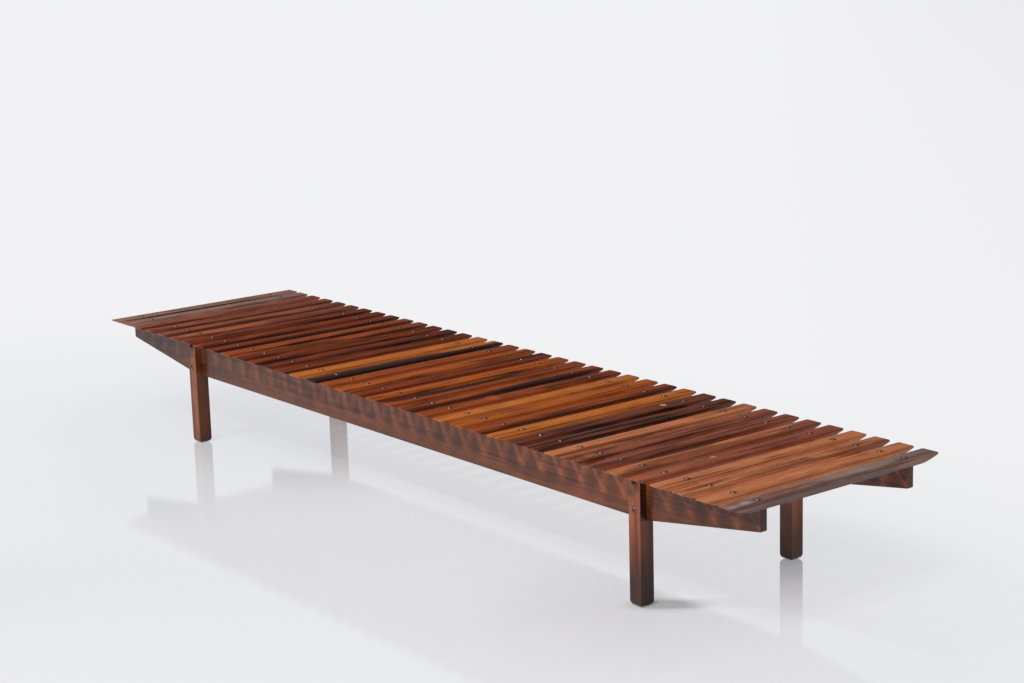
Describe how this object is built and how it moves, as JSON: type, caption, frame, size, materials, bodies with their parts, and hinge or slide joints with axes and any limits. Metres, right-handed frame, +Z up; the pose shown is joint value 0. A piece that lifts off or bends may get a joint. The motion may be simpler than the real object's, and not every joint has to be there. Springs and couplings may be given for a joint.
{
  "type": "low slatted bench",
  "caption": "Long low bench with cross slats that taper to thin tips, screwed to side rails that are let into notched square legs.",
  "frame": {"origin": "on the floor, midway between the four legs", "axes": "+X along the bench towards the end that the slats overhang, +Y across it to the back, +Z up"},
  "size_m": [2.7372, 0.65, 0.3328],
  "materials": {
    "rosewood_grey_brown": "clear satin varnish, grain lengthways",
    "rosewood_red_brown": "clear satin varnish, grain lengthways",
    "rosewood_orange": "clear satin varnish, grain lengthways",
    "rosewood_maroon": "clear satin varnish, grain lengthways",
    "rosewood_black_brown": "clear satin varnish, grain lengthways",
    "rosewood_purple_brown": "clear satin varnish, grain lengthways",
    "rosewood_golden": "clear satin varnish, grain lengthways",
    "rosewood_pink_brown": "clear satin varnish, grain lengthways",
    "rosewood_rail": "clear satin varnish, grain lengthways",
    "rosewood_leg": "clear satin varnish, grain lengthways",
    "bronzed_steel_screw": "darkened, slotted dome heads"
  },
  "bodies": {
    "root": {"slat_01": "rosewood_grey_brown", "slat_02": "rosewood_grey_brown", "slat_03": "rosewood_red_brown", "slat_04": "rosewood_maroon", "slat_05": "rosewood_red_brown", "slat_06": "rosewood_orange", "slat_07": "rosewood_red_brown", "slat_08": "rosewood_purple_brown", "slat_09": "rosewood_maroon", "slat_10": "rosewood_orange", "slat_11": "rosewood_orange", "slat_12": "rosewood_maroon", "slat_13": "rosewood_maroon", "slat_14": "rosewood_maroon", "slat_15": "rosewood_golden", "slat_16": "rosewood_black_brown", "slat_17": "rosewood_red_brown", "slat_18": "rosewood_orange", "slat_19": "rosewood_purple_brown", "slat_20": "rosewood_orange", "slat_21": "rosewood_orange", "slat_22": "rosewood_red_brown", "slat_23": "rosewood_maroon", "slat_24": "rosewood_orange", "slat_25": "rosewood_orange", "slat_26": "rosewood_red_brown", "slat_27": "rosewood_orange", "slat_28": "rosewood_maroon", "slat_29": "rosewood_black_brown", "slat_30": "rosewood_orange", "slat_31": "rosewood_pink_brown", "slat_32": "rosewood_purple_brown", "slat_33": "rosewood_orange", "slat_34": "rosewood_maroon", "slat_35": "rosewood_orange", "slat_36": "rosewood_red_brown", "slat_37": "rosewood_orange", "slat_38": "rosewood_purple_brown", "front_rail": "rosewood_rail", "back_rail": "rosewood_rail", "front_left_leg": "rosewood_leg", "front_right_leg": "rosewood_leg", "back_left_leg": "rosewood_leg", "back_right_leg": "rosewood_leg", "front_slat_screws": "bronzed_steel_screw", "back_slat_screws": "bronzed_steel_screw", "front_leg_screws": "bronzed_steel_screw", "back_leg_screws": "bronzed_steel_screw"}
  },
  "joints": []
}
